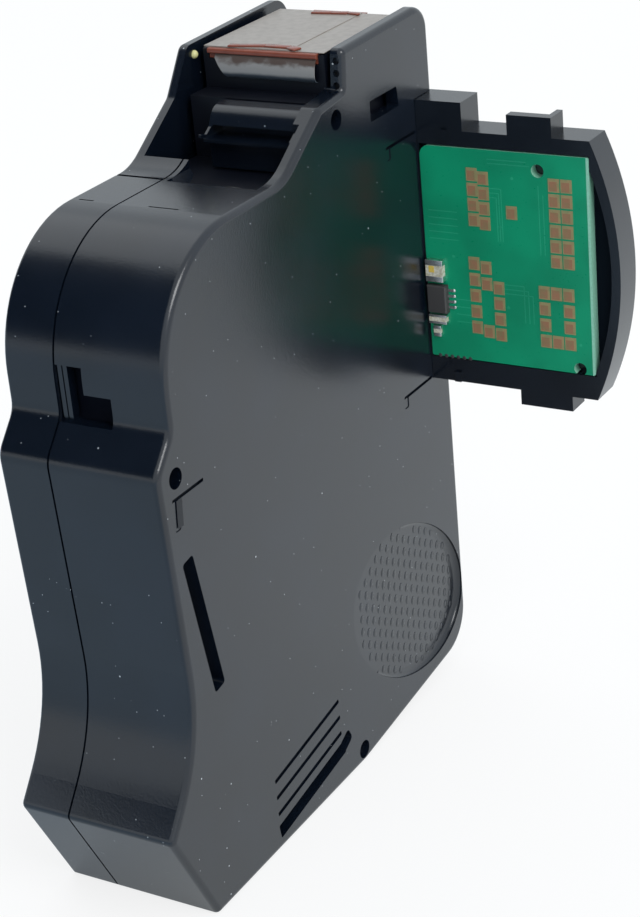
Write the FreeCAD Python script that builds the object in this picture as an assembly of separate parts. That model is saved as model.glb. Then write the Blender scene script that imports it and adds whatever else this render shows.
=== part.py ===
import FreeCAD, Part
import math
import os

V = FreeCAD.Vector

# Inkjet ink cartridge: two snap-together shells round an ink reservoir, with a contact wing at the back.
# Lengths are in millimetres. Case coordinates start at the front tip of the base on the near broad side:
# x runs to the back, y runs through the thickness to the far side, and z runs up.

# Case outline
THICKNESS = 25.3
NEAR_DEPTH = 17.2
CASE_DEPTH = 77.6
BASE_FLAT = 42.5
HEEL_RISE = 3.9
TOE_REACH = 8.6
TOE_HEIGHT = 17.0
SHIN_HEIGHT = 28.4
BUMP_REACH = 1.8
BUMP_HEIGHT = 67.8
WAIST_INSET = 2.3
WAIST_RISE = 4.6
SHOULDER_HEIGHT = 95.4
SHOULDER_ROUND = 18.0
CHEEK_FRONT = 52.0
RAMP_RUN = 10.8
RAMP_RISE = 6.9
RAMP_TO_CHEEK = 6.6
CHEEK_STAND = 6.3
CHEEK_RISE = 0.6
NEAR_ROUND = 0.9
FAR_ROUND = 0.6

# Shell walls and their joint
WALL = 1.8
SIDE_NEAR = 2.0
SIDE_FAR = 1.6
SEAM_CHAMFER = 0.15
SEAM_GAP = 0.15
SEAM_DEPTH = 0.5
LEDGE_WIDTH = 3.0
TONGUE_THICK = 0.6
TONGUE_HEIGHT = 1.0
TONGUE_GAP = 0.08

# Pocket and hood in front of the snout
POCKET_TO_RAMP = 3.6
POCKET_FAR = 14.8
POCKET_FLARE = 1.5
LIP_CHAMFER = 0.3
THROAT_TO_RAMP = 1.9
HOOD_LENGTH = 6.0
HOOD_DROP = 2.8
HOOD_SETBACK = 1.6
HOOD_SLOT = 4.4
HOOD_WALL = 1.6
LIP_DROP = 4.7
HOOD_LIP = 0.45
HOOD_RIM = 0.4
HOOD_END = 0.4
BACK_WALL_DROP = 4.0

# Reservoir
FIT_GAP = 0.3
TANK_TO_BACK = 6.6
TANK_WALL = 1.6
COVER_NEAR = 0.6
COVER_FAR = 0.9
STEP_LENGTH = 4.4
STEP_DROP = 0.1
SNOUT_TO_BACK = 4.4
SNOUT_INSET = 0.8
STANDPIPE_RADIUS = 2.6
FILTER_RADIUS = 4.6
FILTER_THICK = 0.4
PLUG_RADIUS = 1.6
PLUG_HEAD = 0.4

# Print head, flex and film on the snout
DIE_LENGTH = 13.6
DIE_WIDTH = 4.4
DIE_THICK = 0.7
FLEX_THICK = 0.2
FLEX_SIDE = 1.0
FLEX_BEAD = 0.75
FLEX_DROP = 1.4
FLEX_TONGUE = 9.0
FILM_THICK = 0.18
FILM_STRIP = 4.6
FLAP_SIDE = 1.2
FLAP_WIDTH = 16.4
FLAP_DROP = 3.3
FLAP_BULGE = 1.0
FLAP_CORNER = 2.6
DOT_RADIUS = 0.62
RIBBON_THICK = 0.25

# Contact wing and its board
WING_DEPTH = 5.6
WING_DROP = 3.6
WING_HEIGHT = 39.8
WING_SPAN = 27.5
WING_BULGE = 4.2
WING_ROOT = 8.0
WING_RIM = 1.4
TAB_HEIGHT = 4.3
TAB_WIDTH = 7.5
UPPER_TAB_START = 14.7
UPPER_TAB_WIDTH = 7.0
UPPER_TAB_HEIGHT = 3.0
LOWER_TAB_START = 14.9
LOWER_TAB_WIDTH = 8.5
LOWER_TAB_HEIGHT = 2.4
TAB_THICK = 1.7
POST_DEPTH = 4.2
POST_WIDTH = 0.9
CLIP_START = 4.0
CLIP_WIDTH = 1.1
CLIP_HEIGHT = 1.6
CLIP_PROUD = 0.5
BOARD_FLOOR = 1.5
RIB_THICK = 1.0
BOARD_SIDE = 0.5
BOARD_FRAME = 6.4
BOARD_RISE = 3.95
BOARD_THICK = 1.6
BOARD_GAP = 0.3
BOARD_HOLE_RADIUS = 1.0
PAD_WIDTH = 1.78
PAD_HEIGHT = 2.05
PAD_THICK = 0.06
PAD_PITCH = 2.32
PAD_COLUMN = 1.95

# Parts on the board
CHIP_WIDTH = 3.2
CHIP_TALL = 4.4
CHIP_HEIGHT = 1.1
CHIP_UP = 7.35
LEAD_COUNT = 4
LEAD_PITCH = 0.9
LEAD_WIDTH = 0.4

# Details of the broad side and the front
BACK_RIBS = 3
HOLE_RADIUS = 1.45
BASE_HOLE_DEPTH = 1.5
HOLE_TO_CHEEK = 2.6
HOLE_UNDER_RAMP = 2.7
SLOT_WIDTH = 2.5
BASE_SLOT_WIDTH = 2.3
BASE_SLOT_REACH = 25.5
GROOVE_WIDTH = 0.7
GROOVE_PITCH = 2.75
GROOVE_COUNT = 3
MARK_WIDTH = 0.5
MARK_LENGTH = 9.0
SNOUT_SLOT_LENGTH = 8.4
SNOUT_SLOT_HEIGHT = 3.0
SNOUT_SLOT_DROP = 2.8
WINDOW_HEIGHT = 7.8
WINDOW_WIDTH = 4.3
WINDOW_STEP = 4.2
WINDOW_RIB = 0.65
MARK_DEPTH = 0.12
SLIT_WIDTH = 0.3
SLIT_LENGTH = 4.7
SLIT_TO_POCKET = 10.4
DIMPLE_RADIUS = 0.5
DIMPLE_PITCH = 1.7
SCOOP_LENGTH = 37.0
SCOOP_WIDTH = 24.6
SCOOP_DEPTH = 1.1
SCOOP_TILT = -27.0
SCOOP_X = 59.6
SCOOP_Z = 19.2
GROOVE_DEPTH = 0.5

# Places that follow from the sizes above
FAR_INSIDE = THICKNESS - SIDE_FAR
BACK_INSIDE = CASE_DEPTH - WALL
WAIST_HEIGHT = BUMP_HEIGHT + WAIST_RISE
RAMP_HEIGHT = SHOULDER_HEIGHT + RAMP_RISE
RAMP_END = CHEEK_FRONT - RAMP_TO_CHEEK
RAMP_START = RAMP_END - RAMP_RUN
CHEEK_HEIGHT = RAMP_HEIGHT + CHEEK_STAND
POCKET_START = RAMP_START - POCKET_TO_RAMP
THROAT_START = RAMP_START + THROAT_TO_RAMP
BACK_WALL_TOP = CHEEK_HEIGHT - BACK_WALL_DROP
FRAME_TOP = SHOULDER_HEIGHT - WALL - FIT_GAP
TANK_BACK = CASE_DEPTH - TANK_TO_BACK
TANK_NEAR = SIDE_NEAR + COVER_NEAR + 0.1
TANK_FAR = FAR_INSIDE - COVER_FAR - FIT_GAP
TANK_CEILING = FRAME_TOP - TANK_WALL
STEP_FRONT = CHEEK_FRONT - STEP_LENGTH
STEP_HEIGHT = RAMP_HEIGHT - STEP_DROP
HOOD_BACK = STEP_FRONT - FIT_GAP
HOOD_FRONT = HOOD_BACK - HOOD_LENGTH
SNOUT_BACK = CASE_DEPTH - SNOUT_TO_BACK
SNOUT_HEIGHT = CHEEK_HEIGHT - SNOUT_INSET
SNOUT_X = (CHEEK_FRONT + SNOUT_BACK) / 2
SNOUT_Y = (TANK_NEAR + TANK_FAR) / 2
FLEX_NEAR = TANK_NEAR + FLEX_SIDE
FLEX_FAR = TANK_FAR - FLEX_SIDE
FILM_BASE = SNOUT_HEIGHT + FLEX_THICK
PLUG_X = POCKET_START + PLUG_RADIUS + PLUG_HEAD + FIT_GAP
PLUG_Y = (SIDE_NEAR + POCKET_FAR) / 2
WING_FRONT = CASE_DEPTH - WING_DEPTH
WING_TOP = SHOULDER_HEIGHT - WING_DROP
WING_BOTTOM = WING_TOP - WING_HEIGHT
BOARD_FACE = WING_FRONT - 0.1
BOARD_BACK = BOARD_FACE + BOARD_THICK
BOARD_WIDTH = WING_SPAN - BOARD_SIDE
BOARD_HEIGHT = WING_HEIGHT - BOARD_FRAME
BOARD_EDGE = BOARD_GAP + BOARD_WIDTH
BOARD_BOTTOM = WING_BOTTOM + BOARD_RISE
BOARD_TOP = BOARD_BOTTOM + BOARD_HEIGHT


def case_corners(near):
    """Corner list (x, z, radius) of the case profile; the two cheeks differ at the front of the snout."""
    corners = [
        (0.0, 0.0, 0.8),
        (-TOE_REACH, TOE_HEIGHT, 1.0),
        (0.4, SHIN_HEIGHT, 26.0),
        (-BUMP_REACH, BUMP_HEIGHT, 3.2),
        (WAIST_INSET, WAIST_HEIGHT, 3.2),
        (WAIST_INSET, SHOULDER_HEIGHT, SHOULDER_ROUND),
        (RAMP_START, SHOULDER_HEIGHT, 9.0),
        (RAMP_END, RAMP_HEIGHT, 1.5),
    ]
    if near:
        corners += [(CHEEK_FRONT, RAMP_HEIGHT + 0.7, 0.6), (CHEEK_FRONT + 0.6, CHEEK_HEIGHT, 0.8)]
    else:
        corners += [(CHEEK_FRONT - 2.1, CHEEK_HEIGHT, 1.5)]
    corners += [
        (CASE_DEPTH, CHEEK_HEIGHT + CHEEK_RISE, 3.6),
        (CASE_DEPTH, HEEL_RISE, 7.0),
        (BASE_FLAT, 0.0, 3.0),
    ]
    return corners


def tank_corners():
    """The case profile up to the shoulder, without the snout."""
    corners = case_corners(True)[:6]
    return corners + [(CASE_DEPTH, SHOULDER_HEIGHT, 1.0), (CASE_DEPTH, HEEL_RISE, 7.0), (BASE_FLAT, 0.0, 3.0)]


def inset(corners, distance):
    """Move every side of a clockwise profile inwards and keep its arcs concentric."""
    sides = []
    count = len(corners)
    for i in range(count):
        x0, z0, _ = corners[i]
        x1, z1, _ = corners[(i + 1) % count]
        length = math.hypot(x1 - x0, z1 - z0)
        ux, uz = (x1 - x0) / length, (z1 - z0) / length
        sides.append((x0 + uz * distance, z0 - ux * distance, ux, uz))
    moved = []
    for i in range(count):
        ax, az, aux, auz = sides[i - 1]
        bx, bz, bux, buz = sides[i]
        turn = aux * buz - auz * bux
        t = ((bx - ax) * buz - (bz - az) * bux) / turn
        radius = corners[i][2] + (distance if turn > 0 else -distance)
        moved.append((ax + aux * t, az + auz * t, max(radius, 0.3)))
    return moved


def rounded_wire(corners, place):
    """Straight runs joined by tangent arcs; place turns two profile coordinates into a point."""
    count = len(corners)
    spans = []
    for i in range(count):
        x, z, radius = corners[i]
        px, pz, _ = corners[i - 1]
        qx, qz, _ = corners[(i + 1) % count]
        before = math.hypot(px - x, pz - z)
        after = math.hypot(qx - x, qz - z)
        u = ((px - x) / before, (pz - z) / before)
        v = ((qx - x) / after, (qz - z) / after)
        half = math.acos(max(-1.0, min(1.0, u[0] * v[0] + u[1] * v[1]))) / 2
        spans.append([radius / math.tan(half), before, after, u, v, half])
    edges = []
    ends = []
    for i in range(count):
        reach, before, after, u, v, half = spans[i]
        share = min(1.0, 0.98 * before / (reach + spans[i - 1][0] + 1e-9))
        share = min(share, 0.98 * after / (reach + spans[(i + 1) % count][0] + 1e-9))
        reach = reach * share
        x, z, _ = corners[i]
        drop = reach / math.cos(half) - reach * math.tan(half)
        bx, bz = u[0] + v[0], u[1] + v[1]
        size = math.hypot(bx, bz)
        start = place(x + u[0] * reach, z + u[1] * reach)
        middle = place(x + bx / size * drop, z + bz / size * drop)
        end = place(x + v[0] * reach, z + v[1] * reach)
        ends.append((start, middle, end, reach > 1e-6))
    for i in range(count):
        start, middle, end, curved = ends[i]
        if curved:
            edges.append(Part.Arc(start, middle, end).toShape())
        edges.append(Part.LineSegment(end, ends[(i + 1) % count][0]).toShape())
    return Part.Wire(edges)


def plate(corners, y0, y1):
    """A profile in the plane of the broad side, given a thickness along y."""
    wire = rounded_wire(corners, lambda x, z: V(x, y0, z))
    return Part.Face(wire).extrude(V(0, y1 - y0, 0))


def slab(corners, x0, x1):
    """A profile across the thickness (y, z), given a depth along x."""
    wire = rounded_wire(corners, lambda y, z: V(x0, y, z))
    return Part.Face(wire).extrude(V(x1 - x0, 0, 0))


def box(x0, x1, y0, y1, z0, z1):
    return Part.makeBox(x1 - x0, y1 - y0, z1 - z0, V(x0, y0, z0))


def rod_y(x, z, radius, y0, y1):
    return Part.makeCylinder(radius, y1 - y0, V(x, y0, z), V(0, 1, 0))


def rod_x(y, z, radius, x0, x1):
    return Part.makeCylinder(radius, x1 - x0, V(x0, y, z), V(1, 0, 0))


def rod_z(x, y, radius, z0, z1):
    return Part.makeCylinder(radius, z1 - z0, V(x, y, z0), V(0, 0, 1))


def bar(start, end, width, y0, y1, radius=0.3):
    """A slot-shaped block on the broad side from one end point to another."""
    x0, z0 = start
    x1, z1 = end
    length = math.hypot(x1 - x0, z1 - z0)
    nx, nz = -(z1 - z0) / length * width / 2, (x1 - x0) / length * width / 2
    corners = [(x0 - nx, z0 - nz), (x0 + nx, z0 + nz), (x1 + nx, z1 + nz), (x1 - nx, z1 - nz)]
    return plate([(x, z, radius) for x, z in corners], y0, y1)


def fuse(first, others):
    """One solid of several, without the lines where they met."""
    return first.multiFuse(others).removeSplitter()


def rim_edges(shape, y):
    """Edges that lie wholly in one plane across the thickness."""
    return [e for e in shape.Edges if all(abs(v.Y - y) < 1e-6 for v in e.Vertexes)
            and abs(e.CenterOfMass.y - y) < 1e-6]


def tongue(gap):
    """The ring on the parting plane that joins the shells below the front window; gap widens it."""
    corners = case_corners(False)
    y1 = NEAR_DEPTH + TONGUE_HEIGHT + 2 * gap
    depth = WALL - TONGUE_THICK - gap
    ring = plate(inset(corners, depth), NEAR_DEPTH - 0.1, y1)
    ring = ring.cut(plate(inset(corners, WALL), NEAR_DEPTH - 1, y1 + 1))
    return ring.common(box(-TOE_REACH - 1, CASE_DEPTH + 1, 0, THICKNESS, -1, BUMP_HEIGHT + gap))


def hood():
    """The rounded cover in front of the snout, with an open slot under its nose and a thin lip below."""
    low = FRAME_TOP + FIT_GAP
    wall = HOOD_FRONT + HOOD_WALL
    nose = STEP_HEIGHT - HOOD_DROP
    lip = STEP_HEIGHT - LIP_DROP
    corners = [
        (wall, low, 0),
        (wall, lip, 0),
        (HOOD_FRONT, lip, 0.15),
        (HOOD_FRONT, lip + 2 * HOOD_LIP, 0.5),
        (HOOD_FRONT + HOOD_SETBACK, nose, 0.4),
        (HOOD_FRONT + HOOD_LENGTH / 2, STEP_HEIGHT - 0.5, 2.4),
        (HOOD_BACK, STEP_HEIGHT, 0.3),
        (HOOD_BACK, low, 0),
    ]
    end = NEAR_DEPTH - HOOD_END
    floor, ceiling = lip + HOOD_LIP, nose + 0.25
    near, far = LEDGE_WIDTH, end - HOOD_RIM
    slot = [(near, floor, 0.3), (far, floor, 0.5), (far, ceiling, 0.5), (near, ceiling, 0.3)]
    block = plate(corners, LEDGE_WIDTH - 0.5, end).cut(slab(slot, HOOD_FRONT - 1, HOOD_FRONT + HOOD_SLOT))
    root, tip = (HOOD_FRONT + 0.4, lip + 0.9), (HOOD_FRONT - 1.1, lip + 1.3)
    return block.fuse(bar(root, tip, 0.5, end - HOOD_RIM, end, 0.15))


def near_shell():
    outer = plate(case_corners(True), 0, NEAR_DEPTH)
    outer = outer.makeFillet(NEAR_ROUND, rim_edges(outer, 0))
    outer = outer.makeChamfer(SEAM_CHAMFER, rim_edges(outer, NEAR_DEPTH))
    shell = outer.cut(plate(inset(case_corners(True), WALL), SIDE_NEAR, NEAR_DEPTH + 1))
    body = plate(inset(case_corners(True), 0.2), 0.5, NEAR_DEPTH)
    ledge = box(POCKET_START, CHEEK_FRONT, 1, LEDGE_WIDTH, FRAME_TOP + 0.2, CHEEK_HEIGHT)
    space = WING_BOTTOM / (BACK_RIBS + 0.5)
    front, far = TANK_BACK + 0.1, NEAR_DEPTH - 0.4
    ribs = [box(front, BACK_INSIDE + 0.1, SIDE_NEAR - 0.1, far, space * i, space * i + WALL)
            for i in range(1, BACK_RIBS + 1)]
    shell = fuse(shell, [ledge.common(body)] + ribs)
    cuts = near_cuts()
    shell = shell.cut(cuts[0].multiFuse(cuts[1:]))
    return fuse(shell, [hood(), tongue(0)])


def near_cuts():
    """Every opening and groove of the near shell."""
    top = CHEEK_HEIGHT + CHEEK_RISE + 1
    low = FRAME_TOP - 0.1
    behind = HOOD_FRONT + HOOD_WALL
    far = NEAR_DEPTH + 1
    side = POCKET_FAR + POCKET_FLARE
    pocket = [
        (SIDE_NEAR, low, 0),
        (SIDE_NEAR, top, 0),
        (side, top, 0),
        (side, SHOULDER_HEIGHT, 0),
        (POCKET_FAR, low, 0),
    ]
    edge, under = POCKET_START - LIP_CHAMFER, SHOULDER_HEIGHT - LIP_CHAMFER
    lip = [
        (edge, SHOULDER_HEIGHT, 0),
        (edge, SHOULDER_HEIGHT + 1, 0),
        (POCKET_START + 1, SHOULDER_HEIGHT + 1, 0),
        (POCKET_START + 1, under, 0),
        (POCKET_START, under, 0),
    ]
    cuts = [
        slab(pocket, POCKET_START, behind),
        plate(lip, SIDE_NEAR, side),
        box(THROAT_START, behind + 0.1, POCKET_FAR - 1, far, low, top),
        box(behind, CHEEK_FRONT + 1, LEDGE_WIDTH, far, low, top),
        box(CHEEK_FRONT, BACK_INSIDE + 0.05, SIDE_NEAR, far, STEP_HEIGHT - 2, top),
        box(BACK_INSIDE - 1, CASE_DEPTH + 1, SIDE_NEAR, far, BACK_WALL_TOP, top),
    ]
    cuts += wing_notch() + side_holes() + side_slots() + grooves() + front_window()
    slit = shoulder_slit(NEAR_DEPTH - 2 * SLIT_LENGTH, NEAR_DEPTH - SLIT_LENGTH)
    return cuts + cheek_dimples() + [thumb_scoop(), slit]


def shoulder_slit(y0, y1):
    """A thin shallow slit across the top of the shoulder."""
    x = POCKET_START - SLIT_TO_POCKET
    return box(x, x + SLIT_WIDTH, y0, y1, SHOULDER_HEIGHT - 0.6, SHOULDER_HEIGHT + 1)


def wing_notch():
    """The open corner at the back that the root of the wing fills."""
    gap = 0.1
    top = WING_TOP + TAB_HEIGHT + gap
    return [box(WING_FRONT - gap, CASE_DEPTH + 1, -1, WING_ROOT + gap, WING_BOTTOM - gap, top)]


def hole_places():
    """Middles (x, z) of the three datum holes: beside the snout, on the bump and over the base."""
    return [
        (CHEEK_FRONT - HOLE_TO_CHEEK, RAMP_HEIGHT - HOLE_UNDER_RAMP),
        (4.0 - BUMP_REACH, BUMP_HEIGHT - 1.5),
        (BASE_FLAT - 0.4, 2.2),
    ]


def side_holes():
    """Three round datum holes in the near side; the one over the base is blind."""
    top, front, base = hole_places()
    return [
        rod_y(top[0], top[1], HOLE_RADIUS, -1, LEDGE_WIDTH + 1),
        rod_y(front[0], front[1], HOLE_RADIUS, -1, SIDE_NEAR + 1),
        rod_y(base[0], base[1], HOLE_RADIUS, -1, BASE_HOLE_DEPTH),
    ]


def side_slots():
    """The long front slot, the slot along the base and the rectangular snout slot."""
    deep = SIDE_NEAR + 0.5
    x = BASE_FLAT - BASE_SLOT_REACH
    front = bar((2.6, BUMP_HEIGHT - 13.4), (6.5, SHIN_HEIGHT + 4.7), SLOT_WIDTH, -1, deep, 0.5)
    base = bar((x, 2.9), (x + 19.6, 6.1), BASE_SLOT_WIDTH, -1, deep, 0.3)
    hook = bar((x + 18.6, 5.9), (x + 21.4, 7.3), BASE_SLOT_WIDTH, -1, deep, 0.7)
    start, end = CHEEK_FRONT + 6.9, CHEEK_FRONT + 6.9 + SNOUT_SLOT_LENGTH
    high = RAMP_HEIGHT - SNOUT_SLOT_DROP
    low = high - SNOUT_SLOT_HEIGHT
    snout = plate([(start, low, 0.3), (start, high, 0.3), (end - 0.4, high, 0.3), (end, low, 0.3)], -1, deep)
    return [front, base.fuse(hook), snout]


def corner_mark(x, z, length, drop):
    """A thin level groove with a short wider upright below its front end."""
    level = bar((x, z), (x + length, z), MARK_WIDTH, -1, GROOVE_DEPTH, 0.15)
    upright = bar((x + 0.6, z + 0.2), (x + 0.6, z - drop), 1.3, -1, MARK_DEPTH, 0.3)
    return level.fuse(upright)


def grooves():
    """Thin grooves: a row above the base slot, and three corner marks."""
    cuts = []
    x = BASE_FLAT - BASE_SLOT_REACH
    for i in range(GROOVE_COUNT):
        z = 5.9 + i * GROOVE_PITCH
        cuts.append(bar((x, z), (x + 18.9, z + 2.9), GROOVE_WIDTH, -1, GROOVE_DEPTH, 0.2))
    mark_x = WING_FRONT - MARK_LENGTH - 0.4
    cuts.append(corner_mark(0.9, BUMP_HEIGHT - 4.3, 7.3, 4.4))
    cuts.append(corner_mark(mark_x, WING_BOTTOM + 0.3, MARK_LENGTH, 1.8))
    cuts.append(corner_mark(mark_x, WING_TOP - 0.4, MARK_LENGTH, 1.9))
    return cuts


def front_window():
    """The recess in the front strip beside the parting plane, crossed by two upright ribs."""
    front, inside = -BUMP_REACH - 2, WAIST_INSET + WALL + 0.5
    side = NEAR_DEPTH - WINDOW_WIDTH
    low = WAIST_HEIGHT - 0.5
    high = low + WINDOW_HEIGHT
    tall = box(front, inside, side, NEAR_DEPTH + 1, low, high)
    short = box(front, inside, side - WINDOW_STEP, side + 0.1, low, high - 3.7)
    rib_front = WAIST_INSET + FIT_GAP
    first = NEAR_DEPTH - 0.4 - WINDOW_RIB
    second = first - 0.2 - WINDOW_RIB
    ribs = [box(rib_front, inside - 0.5, y, y + WINDOW_RIB, low - 1, high + 1) for y in (first, second)]
    return [tall.cut(ribs[0].fuse(ribs[1])), short]


def cheek_dimples():
    """Three small blind holes in the front edge of the near cheek."""
    y = SIDE_NEAR / 2 + 0.1
    return [rod_x(y, CHEEK_HEIGHT - 5.0 + DIMPLE_PITCH * i, DIMPLE_RADIUS, CHEEK_FRONT - 1, CHEEK_FRONT + 1)
            for i in range(3)]


def thumb_scoop():
    """An elliptical scoop that is flush at the front and deepest towards the back edge."""
    ellipse = Part.Ellipse(V(0, 0, 0), SCOOP_LENGTH / 2, SCOOP_WIDTH / 2)
    depth = 2 * SCOOP_DEPTH + 2
    disc = Part.Face(Part.Wire([ellipse.toShape()])).extrude(V(0, 0, depth))
    disc.rotate(V(0, 0, 0), V(1, 0, 0), 90)
    disc.translate(V(0, depth / 2, 0))
    disc.rotate(V(0, 0, 0), V(0, 1, 0), -SCOOP_TILT)
    slope = math.degrees(math.atan2(SCOOP_DEPTH, SCOOP_LENGTH))
    half = SCOOP_LENGTH
    wedge = Part.makeBox(2 * half, depth, 2 * half, V(-half, -depth, -half))
    wedge.translate(V(0, SCOOP_DEPTH / 2, 0))
    wedge.rotate(V(0, SCOOP_DEPTH / 2, 0), V(0, 0, 1), slope)
    wedge.rotate(V(0, 0, 0), V(0, 1, 0), -SCOOP_TILT)
    scoop = disc.common(wedge)
    scoop.translate(V(SCOOP_X, 0, SCOOP_Z))
    return scoop


def seam_gap():
    """The shadow gap that runs round the far shell beside the parting plane."""
    end = NEAR_DEPTH + SEAM_GAP
    ring = plate(inset(case_corners(False), -1), NEAR_DEPTH - 1, end)
    return ring.cut(plate(inset(case_corners(False), SEAM_DEPTH), NEAR_DEPTH - 2, end + 1))


def far_shell():
    outer = plate(case_corners(False), NEAR_DEPTH, THICKNESS)
    outer = outer.makeFillet(FAR_ROUND, rim_edges(outer, THICKNESS))
    shell = outer.cut(plate(inset(case_corners(False), WALL), NEAR_DEPTH - 1, FAR_INSIDE))
    top = CHEEK_HEIGHT + CHEEK_RISE + 1
    low = FRAME_TOP - 0.1
    cuts = [
        box(THROAT_START, BACK_INSIDE + 0.05, NEAR_DEPTH - 1, FAR_INSIDE, low, top),
        box(BACK_INSIDE - 1, CASE_DEPTH + 1, NEAR_DEPTH - 1, FAR_INSIDE, BACK_WALL_TOP, top),
        box(POCKET_START, POCKET_START + 2 * SLIT_WIDTH, NEAR_DEPTH - 1, THICKNESS + 1,
            SHOULDER_HEIGHT - GROOVE_DEPTH, top),
        shoulder_slit(FAR_INSIDE - SLIT_LENGTH / 2, FAR_INSIDE),
        tongue(TONGUE_GAP),
        seam_gap(),
    ]
    return shell.cut(cuts[0].multiFuse(cuts[1:]))


def reservoir_frame():
    gap = WALL + FIT_GAP
    profile = inset(tank_corners(), gap)
    front = -TOE_REACH
    keep = box(front, TANK_BACK, 0, THICKNESS, 0, FRAME_TOP)
    body = plate(profile, TANK_NEAR, TANK_FAR).common(keep)
    hollow = plate(inset(tank_corners(), gap + TANK_WALL), 0, THICKNESS)
    hollow = hollow.common(box(front, TANK_BACK - TANK_WALL, 0, THICKNESS, 0, TANK_CEILING))
    near = LEDGE_WIDTH + FIT_GAP
    step = box(STEP_FRONT, TANK_BACK, near, TANK_FAR, FRAME_TOP - 1, STEP_HEIGHT)
    snout = box(CHEEK_FRONT, SNOUT_BACK, TANK_NEAR, TANK_FAR, STEP_HEIGHT - 2, SNOUT_HEIGHT)
    neck = box(CHEEK_FRONT, TANK_BACK, TANK_NEAR, TANK_FAR, FRAME_TOP - 1, STEP_HEIGHT)
    frame = fuse(body, [step, neck, snout]).cut(hollow)
    face = CHEEK_FRONT + FLEX_THICK + 0.1
    die_base = SNOUT_HEIGHT - DIE_THICK
    half_x, half_y = DIE_WIDTH / 2, DIE_LENGTH / 2
    feed = half_y - 1.8
    cuts = [
        rod_z(SNOUT_X, SNOUT_Y, STANDPIPE_RADIUS, TANK_CEILING - 1, die_base - 1.2),
        rod_z(SNOUT_X, SNOUT_Y, FILTER_RADIUS, TANK_CEILING - 1, TANK_CEILING + FILTER_THICK),
        box(SNOUT_X - 1, SNOUT_X + 1, SNOUT_Y - feed, SNOUT_Y + feed, die_base - 1.5, SNOUT_HEIGHT),
        over_die(half_x, half_y, die_base, SNOUT_HEIGHT + 1),
        box(CHEEK_FRONT - 1, face, FLEX_NEAR - 0.1, FLEX_FAR + 0.1, SNOUT_HEIGHT - FLEX_DROP,
            SNOUT_HEIGHT + 1),
        rod_z(PLUG_X, PLUG_Y, PLUG_RADIUS, TANK_CEILING - 1, FRAME_TOP + 1),
    ]
    return frame.cut(cuts[0].multiFuse(cuts[1:]))


def reservoir_cover(y0, thick):
    """A flat side cover of the reservoir, with its outline set in a little from the frame."""
    cover = plate(inset(tank_corners(), WALL + FIT_GAP + 0.4), y0, y0 + thick)
    return cover.common(box(-TOE_REACH, TANK_BACK - 0.4, 0, THICKNESS, 0, FRAME_TOP - 0.4))


def ink_foam():
    """The ink-soaked foam block that fills the chamber."""
    gap = WALL + FIT_GAP + TANK_WALL + FIT_GAP
    block = plate(inset(tank_corners(), gap), TANK_NEAR + FIT_GAP, TANK_FAR - FIT_GAP)
    back = TANK_BACK - TANK_WALL - FIT_GAP
    return block.common(box(-TOE_REACH, back, 0, THICKNESS, 0, TANK_CEILING - FIT_GAP))


def filter_screen():
    return rod_z(SNOUT_X, SNOUT_Y, FILTER_RADIUS - 0.1, TANK_CEILING, TANK_CEILING + FILTER_THICK)


def fill_plug():
    """A round plug with a thin head, pressed in the top of the reservoir under the pocket."""
    stem = rod_z(PLUG_X, PLUG_Y, PLUG_RADIUS - 0.05, TANK_CEILING, FRAME_TOP)
    head = rod_z(PLUG_X, PLUG_Y, PLUG_RADIUS + PLUG_HEAD, FRAME_TOP, FRAME_TOP + 0.5)
    hollow = rod_z(PLUG_X, PLUG_Y, PLUG_RADIUS - 1, TANK_CEILING + 0.6, FRAME_TOP + 1)
    return stem.fuse(head).cut(hollow).removeSplitter()


def over_die(half_x, half_y, z0, z1):
    """A block centred on the print head."""
    return box(SNOUT_X - half_x, SNOUT_X + half_x, SNOUT_Y - half_y, SNOUT_Y + half_y, z0, z1)


def nozzle_plate():
    return over_die(DIE_WIDTH / 2 - 0.1, DIE_LENGTH / 2 - 0.1, SNOUT_HEIGHT - DIE_THICK, SNOUT_HEIGHT)


def flex_circuit():
    """A thin flex over the snout, with a rolled bead and a fold in front, a tail behind and a window."""
    front, bead_front = CHEEK_FRONT + 0.1, CHEEK_FRONT - 0.5
    fold_base = SNOUT_HEIGHT - FLEX_DROP + 0.1
    bead_base = FILM_BASE - FLEX_BEAD
    top = box(front, SNOUT_BACK + 0.4, FLEX_NEAR, FLEX_FAR, SNOUT_HEIGHT, FILM_BASE)
    fold = box(front, front + FLEX_THICK, FLEX_NEAR, FLEX_FAR, fold_base, SNOUT_HEIGHT + 0.1)
    roll = [
        (bead_front, bead_base, 0.2),
        (bead_front, FILM_BASE, 0.3),
        (front + 0.1, FILM_BASE, 0),
        (front + 0.1, bead_base, 0),
    ]
    half = FLEX_TONGUE / 2
    tail = box(SNOUT_BACK, SNOUT_BACK + 1.2, SNOUT_Y - half, SNOUT_Y + half, SNOUT_HEIGHT, FILM_BASE)
    window = over_die(DIE_WIDTH / 2 - 1, DIE_LENGTH / 2 - 1, SNOUT_HEIGHT - 1, FILM_BASE + 1)
    return fuse(top, [fold, plate(roll, FLEX_NEAR, FLEX_FAR), tail]).cut(window)


def protective_film():
    """The peel-off film over the snout, thinner in a strip along its near side."""
    y0, y1 = TANK_NEAR + 0.1, TANK_FAR - 0.1
    front, back = CHEEK_FRONT + 0.2, SNOUT_BACK + 0.2
    strip = box(front, back, y0, y0 + FILM_STRIP + 1, FILM_BASE, FILM_BASE + FILM_THICK / 2)
    main = box(front, back, y0 + FILM_STRIP + 1, y1, FILM_BASE, FILM_BASE + FILM_THICK)
    return fuse(strip, [main])


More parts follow.
